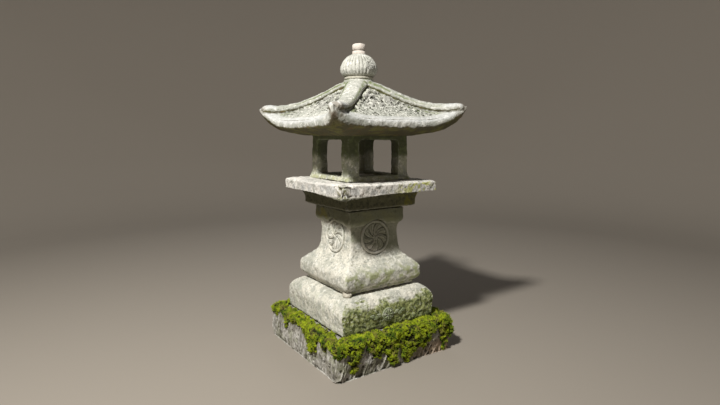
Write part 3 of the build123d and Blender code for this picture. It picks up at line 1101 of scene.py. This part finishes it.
inner = weights(field, "stippled", stippled)
strokes = grain_space((2.0, 1.0, 1.0))
upper = weights(field, "upper", stroked)
shape_with(
    field, "DISPLACE", texture=holes(0.0105, 0.62), strength=0.0095, mid_level=1.0, vertex_group=inner,
)
shape_with(
    field, "DISPLACE", texture=holes(0.011, 0.5), strength=0.004, mid_level=1.0, vertex_group=upper,
    texture_coords="OBJECT", texture_coords_object=strokes,
)
bpy.data.objects.remove(strokes)
shape_with(field, "DISPLACE", texture=clouds(0.02, 4), strength=0.002, mid_level=0.6)
# How deep each point sank; the pitted finish paints shade from it.
pit = field.data.attributes.new("pit", "FLOAT", "POINT")
for mark, vertex, start in zip(pit.data, field.data.vertices, flat):
    mark.value = min(1.0, (start - vertex.co).length / 0.008)
shape_with(field, "SOLIDIFY", thickness=0.008, offset=-1.0)
bpy.ops.object.shade_smooth()
fields = [field] + [turned_copy(field, f"pitted_field_{turn}", turn) for turn in turns[1:]]
for piece in fields:
    settle_front_corner(piece)
    piece.data.materials.append(pitted_finish)
    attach(piece, "roof_stone")


# ---- Finial --------------------------------------------------------------------------------------
# The knob on the crown, cast with the peg that holds it: a ringed neck, a ball with fine upright
# ribs and one small carved disc, and a plain round cap with a groove under it.
rib_count = 30
knob = spin_profile(
    "finial_stone",
    [(0.0, finial_low.z), (0.0195, finial_low.z), (0.0195, crown_height - 0.001), (0.046, crown_height)]
    + [
        (0.0001 + half, crown_height + up)
        for half, up in (
            (0.048, 0.002),
            (0.048, 0.007),
            (0.0465, 0.009),
            *curve((0.0465, 0.009), (0.061, 0.033), (0.02, 0.008), (0.0, 0.03), 12),
            *curve((0.061, 0.033), (0.027, 0.079), (0.0, 0.04), (-0.055, 0.012), 18),
            (0.0255, 0.0805),
            (0.0215, 0.0825),
            (0.0208, 0.0915),
            (0.0188, 0.0925),
            (0.0188, 0.0945),
            (0.0208, 0.0955),
            (0.0212, 0.104),
            (0.0208, 0.112),
            (0.0185, 0.1145),
        )
    ]
    + [(0.012, finial_high.z), (0.0, finial_high.z)],
    rib_count * 8,
)
disc_out = Vector((0.05, -0.9, 0.12)).normalized()
disc_share = 0.25    # how far the disc reaches round the ball
ball_middle = Vector((0, 0, crown_height + 0.036))
for vertex in knob.data.vertices:
    up = vertex.co.z - crown_height
    reach = math.hypot(vertex.co.x, vertex.co.y)
    if 0.010 < up < 0.078 and reach > 0.026:
        turn = math.atan2(vertex.co.y, vertex.co.x)
        fade = min(1.0, (up - 0.010) / 0.006, (0.078 - up) / 0.006)
        groove = abs(math.sin(turn * rib_count / 2 + 9 * up)) ** 0.7 - 0.75
        off_disc = (vertex.co - ball_middle).normalized().cross(disc_out).length
        facing_disc = (vertex.co - ball_middle).dot(disc_out) > 0
        if facing_disc and off_disc < disc_share:
            groove = 0.9 * math.cos(off_disc * 80) + 0.6
        outward = (vertex.co - ball_middle).normalized()
        vertex.co += outward * 0.0026 * groove * fade
shape_with(knob, "DISPLACE", texture=clouds(0.012, 4), strength=0.0022, mid_level=0.5)
shape_with(knob, "DISPLACE", texture=clouds(0.004, 4), strength=0.0012, mid_level=0.6)
bpy.ops.object.shade_smooth()

finial_finish, colour = cast_stone("finial_stone", (0.52, 0.52, 0.48), (0.38, 0.38, 0.34))
colour = coats(
    finial_finish, colour,
    ((along(finial_finish, "Z", crown_height + 0.08, crown_height + 0.084), 0.6), (0.66, 0.56, 0.5)),
    ((along(finial_finish, "Z", crown_height + 0.02, crown_height + 0.004), 0.6), (0.36, 0.33, 0.24)),
)
dress(finial_finish, colour, 0.85, 0.3, 0.001, 0.0009)
knob.data.materials.append(finial_finish)
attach(knob, "finial_stone")
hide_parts("finial")


# ---- Mortar --------------------------------------------------------------------------------------
# Two thin beds hold the lower stones to one another. The mortar was struck back by hand, so its edge
# is lumpy and lies a little inside the stones, except for one lump squeezed out at the front corner.
mortar_finish = new_finish("mortar", 0.95)
colour = coat(mortar_finish, (0.4, 0.37, 0.3), mottle(mortar_finish, 0.02, 0.42, 0.6), (0.56, 0.53, 0.45))
colour = coat(mortar_finish, colour, (mottle(mortar_finish, 0.03, 0.5, 0.6), 0.6), (0.17, 0.18, 0.09))
dress(mortar_finish, colour, 0.7, 0.3, 0.001, 0.001)
for name in ("mortar_bed_lower", "mortar_bed_upper"):
    low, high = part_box(name)
    bed = square_stone(
        f"{name}_struck",
        (
            (high.x - 0.003, low.z),
            (high.x, low.z + 0.001),
            (high.x, high.z - 0.001),
            (high.x - 0.003, high.z),
        ),
        0.006,
    )
    if name == "mortar_bed_upper":
        bpy.ops.object.select_all(action="DESELECT")
        bpy.ops.mesh.primitive_ico_sphere_add(
            subdivisions=3, radius=0.012, scale=(1.4, 1.4, 1),
            location=(-plinth_half * 0.72, -plinth_half * 0.72, high.z + 0.003),
        )
        bpy.ops.object.transform_apply()
        weld(bed, bpy.context.object)
    remesh(bed, 0.0021, 2)
    edge = weights(bed, "edge", lambda point, normal: 1.0 if max(abs(point.x), abs(point.y)) > 0.115 else 0)
    shape_with(bed, "DISPLACE", texture=clouds(0.018, 4), strength=0.006, mid_level=0.65, vertex_group=edge)
    bpy.ops.object.shade_smooth()
    bed.data.materials.append(mortar_finish)
    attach(bed, "base_stones")
    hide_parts(name)


# ---- Crest on the plinth -------------------------------------------------------------------------
# A small round flower of eight petals in a ring, and a sprig of three leaves on either side of it.
# All of it was modelled in low relief on the plinth's front, and is worn soft.
crest_middle = Vector((-0.012, -plinth_half - 0.0005, plinth_low.z + 0.041))
crest_radius = 0.022
crest_ground = (0.085, 0.034)    # half width and half height of the plinth's smoother ground round it
for vertex in plinth.data.vertices:
    away_from_crest = math.hypot(
        (vertex.co.x - crest_middle.x) / crest_ground[0], (vertex.co.z - crest_middle.z) / crest_ground[1]
    )
    if vertex.co.y < -plinth_half + 0.012 and away_from_crest < 1.0:
        hold = min(1.0, 2.5 * (1.0 - away_from_crest))
        vertex.co.y += (crest_middle.y + 0.002 - vertex.co.y) * hold * 0.85
crest = spin_profile(
    "plinth_crest",
    [(0.0, -0.006), (crest_radius, -0.006), (crest_radius, 0.001), (crest_radius - 0.002, 0.0022)]
    + [(crest_radius - 0.004, 0.0016), (crest_radius - 0.005, 0.0)]
    + [((crest_radius - 0.005) * (1 - i / 10), 0.0) for i in range(1, 11)],
    96,
)
for vertex in crest.data.vertices:
    reach = math.hypot(vertex.co.x, vertex.co.y)
    if vertex.co.z >= 0 and reach < crest_radius - 0.0045:
        petal = abs(math.cos(math.atan2(vertex.co.y, vertex.co.x) * 4)) ** 0.6
        fade = min(1.0, reach / 0.006) * min(1.0, (crest_radius - 0.004 - reach) / 0.003)
        vertex.co.z += 0.005 * petal * fade
        vertex.co.z += 0.004 * max(0.0, 1 - (reach / 0.005) ** 2)
leaves = []
for side in (-1, 1):
    for along_stem, lift, tilt in ((0.034, 0.003, 0.5), (0.047, -0.004, -0.3), (0.060, 0.003, 0.3)):
        bpy.ops.object.select_all(action="DESELECT")
        bpy.ops.mesh.primitive_uv_sphere_add(segments=16, ring_count=10, radius=1, location=(0, 0, 0))
        leaf = bpy.context.object
        for vertex in leaf.data.vertices:
            point = 1 - abs(vertex.co.x) ** 1.5
            vein = 0.25 if abs(vertex.co.y) < 0.12 else 0.0
            vertex.co = (
                vertex.co.x * 0.012, vertex.co.y * 0.0072 * point, vertex.co.z * (0.0024 - 0.003 * vein),
            )
        leaf.rotation_euler = (0, 0, tilt * side)
        leaf.location = (side * along_stem, lift, 0.0005)
        bpy.ops.object.transform_apply()
        leaves.append(leaf)
weld(crest, *leaves)
only(crest)
crest.rotation_euler = (math.pi / 2, 0, 0)
crest.location = crest_middle
bpy.ops.object.transform_apply()
remesh(crest, 0.0009, 1)
shape_with(crest, "DISPLACE", texture=clouds(0.006, 4), strength=0.0014, mid_level=0.5)
bpy.ops.object.shade_smooth()
crest_finish, colour = cast_stone("plinth_crest", (0.34, 0.37, 0.25), (0.2, 0.24, 0.13))
colour = coat(crest_finish, colour, (mottle(crest_finish, 0.012, 0.4, 0.55), 0.8), (0.17, 0.21, 0.09))
dress(crest_finish, colour, 0.85, 0.12, 0.0011, 0.001)
crest.data.materials.append(crest_finish)
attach(crest, "base_stones")


# ---- Moss ----------------------------------------------------------------------------------------
# Living moss on the block's ledge. It grows from the joint round the plinth, creeps over the block's
# edge and hangs in separate masses, thick where the wet runs down and thin in between.
ledge_start = plinth_half - 0.001
moss_overlap = 0.192    # where the left and right mats end, under the front and back ones
moss_corner = 0.226    # past this, the front and back mats lie only on the block's top
leaf_count = 8000
leaf_sides = ((0, 1, 3), (1, 2, 3), (2, 0, 3), (0, 2, 1))    # three blades to the tip, and the foot
shaded_gap = 0.22    # no leaf grows where the gap between clumps is deeper than this
moss_sides = (
    # node, side's direction, thin fringe, then each mass: where along the side, half width, drop
    ("moss_front", (0, -1), 0.012, ((-0.212, 0.020, 0.040), (-0.168, 0.024, 0.088), (-0.080, 0.028, 0.064),
                                    (-0.026, 0.034, 0.088), (0.040, 0.042, 0.104), (0.106, 0.030, 0.086),
                                    (0.193, 0.020, 0.100), (0.226, 0.012, 0.056))),
    ("moss_left", (-1, 0), -0.004, ((-0.150, 0.022, 0.034), (-0.075, 0.030, 0.070), (-0.020, 0.022, 0.026),
                                    (0.060, 0.030, 0.012), (0.112, 0.012, 0.038), (0.190, 0.030, 0.014))),
    ("moss_back", (0, 1), 0.006, ((-0.200, 0.030, 0.030), (-0.090, 0.040, 0.050), (0.070, 0.050, 0.040),
                                  (0.200, 0.030, 0.034))),
    ("moss_right", (1, 0), 0.008, ((-0.140, 0.040, 0.062), (-0.020, 0.030, 0.030), (0.110, 0.040, 0.048))),
)


def moss_cover(point, fringe, masses, along_side):
    """How far inside the moss a point of the block is, in metres; below 0 it is bare."""
    drop = fringe + max(
        (deep - fringe) * math.exp(-(((along_side - where) / wide) ** 2)) for where, wide, deep in masses
    )
    ragged = 0.018 * noise.noise(point / 0.014) + 0.024 * noise.noise(point / 0.04)
    return drop + ragged + 0.008 - (block_top - point.z)


moss_finish = new_finish("moss", 1.0)
tone = patches(moss_finish, 0.03, detail=6.0)
colour = coat(moss_finish, (0.035, 0.085, 0.006), ramp(moss_finish, tone, 0.4, 0.57), (0.28, 0.35, 0.012))
colour = coats(
    moss_finish, colour,
    ((mottle(moss_finish, 0.012, 0.54, 0.66), 0.7), (0.4, 0.42, 0.03)),
    ((mottle(moss_finish, 0.022, 0.52, 0.6), 0.85), (0.14, 0.11, 0.04)),
    ((mottle(moss_finish, 0.006, 0.55, 0.66), 0.8), (0.03, 0.06, 0.004)),
)
tip = put(moss_finish, "ShaderNodeAttribute", attribute_name="tip").outputs["Fac"]
colour = coat(moss_finish, colour, (tip, 0.55), (0.46, 0.52, 0.04))
# Painted shade in the hollows of the moss.
moss_hollow_shade = ramp(moss_finish, moss_finish.node_tree.nodes["surface"].outputs["Pointiness"], 0.5, 0.42)
colour = coat(moss_finish, colour, (moss_hollow_shade, 0.95), (0.012, 0.018, 0.004))
# Painted shade in the gaps between the clumps, where the surface sinks.
gap_shade = put(moss_finish, "ShaderNodeAttribute", attribute_name="gap").outputs["Fac"]
colour = coat(moss_finish, colour, (ramp(moss_finish, gap_shade, 0.02, 0.34), 0.95), (0.018, 0.02, 0.006))
shader = moss_finish.node_tree.nodes["Principled BSDF"]
moss_finish.node_tree.links.new(colour, shader.inputs["Base Color"])
fuzz = put(
    moss_finish, "ShaderNodeBump",
    (("Height", patches(moss_finish, 0.002)), ("Distance", 0.0015), ("Strength", 0.9)),
)
moss_finish.node_tree.links.new(fuzz.outputs["Normal"], shader.inputs["Normal"])

dice = random.Random(7)
for node, (side_x, side_y), fringe, masses in moss_sides:
    moss = turned_copy(block, f"{node}_growth")
    moss.data.materials.clear()
    moss.vertex_groups.clear()
    bare = set()
    depth = {}
    for vertex in moss.data.vertices:
        point = vertex.co
        out = point.x * side_x + point.y * side_y
        along_side = point.x * abs(side_y) + point.y * abs(side_x)
        cover = moss_cover(point, fringe, masses, along_side)
        corner_side = abs(along_side) > moss_corner and point.z < block_top - 0.014
        own = abs(along_side) < moss_overlap if side_x else not corner_side
        if point.z > block_top - 0.012:
            cover = max(cover, 0.010 + 0.02 * noise.noise(point / 0.04 + Vector((7, 0, 0))))
        if not own or out < ledge_start or cover < 0:
            bare.add(vertex.index)
        depth[vertex.index] = cover
    outward = [vertex.normal.copy() for vertex in moss.data.vertices]
    for vertex, normal in zip(moss.data.vertices, outward):
        thick = 0.0015 + 0.0085 * min(1.0, max(0.0, depth[vertex.index]) / 0.018) * (
            0.75 + 0.45 * noise.noise(vertex.co / 0.02 + Vector((0, 3, 0)))
        )
        vertex.co += normal * thick
    bpy.ops.object.mode_set(mode="EDIT")
    bpy.ops.mesh.select_mode(type="FACE")
    bpy.ops.object.mode_set(mode="OBJECT")
    for face in moss.data.polygons:
        face.select = any(index in bare for index in face.vertices)
    bpy.ops.object.mode_set(mode="EDIT")
    bpy.ops.mesh.delete(type="FACE")
    bpy.ops.object.mode_set(mode="OBJECT")
    shape_with(moss, "SOLIDIFY", thickness=0.008, offset=-1.0)
    remesh(moss, 0.0026, 2)
    smooth = [(vertex.co.copy(), vertex.normal.copy()) for vertex in moss.data.vertices]
    shape_with(moss, "DISPLACE", texture=clouds(0.014, 3), strength=0.019, mid_level=0.5)
    shape_with(moss, "DISPLACE", texture=clouds(0.006, 3), strength=0.012, mid_level=0.5)
    # How far each point sank below the smooth mat; the moss finish paints shade from it.
    gap = moss.data.attributes.new("gap", "FLOAT", "POINT")
    for mark, vertex, (start, normal) in zip(gap.data, moss.data.vertices, smooth):
        mark.value = max(0.0, (start - vertex.co).dot(normal) / 0.006)
    for vertex in moss.data.vertices:
        vertex.co.z = max(0.004, vertex.co.z)
    bpy.ops.object.shade_smooth()
    faces = [
        face for face in moss.data.polygons
        if face.normal.z > -0.3 and max(gap.data[index].value for index in face.vertices) < shaded_gap
    ]
    points, sheets, tips = [], [], []
    for face in dice.sample(faces, min(len(faces), leaf_count)):
        root = face.center - face.normal * 0.001
        stray = Vector([dice.uniform(-0.6, 0.6) for _ in range(3)])
        lean = (face.normal + stray + Vector((0, 0, 0.25))).normalized()
        across = lean.orthogonal().normalized()
        beside = lean.cross(across)
        wide = dice.uniform(0.0008, 0.0015)
        start = len(points)
        points += [
            root + across * wide,
            root - across * wide * 0.6 + beside * wide,
            root - across * wide * 0.6 - beside * wide,
            root + lean * dice.uniform(0.003, 0.0095),
        ]
        tips += [0.0, 0.0, 0.0, 1.0]
        sheets += [(start + a, start + b, start + c) for a, b, c in leaf_sides]
    leaves_mesh = bpy.data.meshes.new(f"{node}_leaves")
    leaves_mesh.from_pydata(points, [], sheets)
    mark = leaves_mesh.attributes.new("tip", "FLOAT", "POINT")
    mark.data.foreach_set("value", tips)
    moss_leaves = bpy.data.objects.new(f"{node}_leaves", leaves_mesh)
    scene.collection.objects.link(moss_leaves)
    moss_leaves.data.materials.append(moss_finish)
    moss.data.materials.append(moss_finish)
    for piece in (moss, moss_leaves):
        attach(piece, "base_stones")
    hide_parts(node)
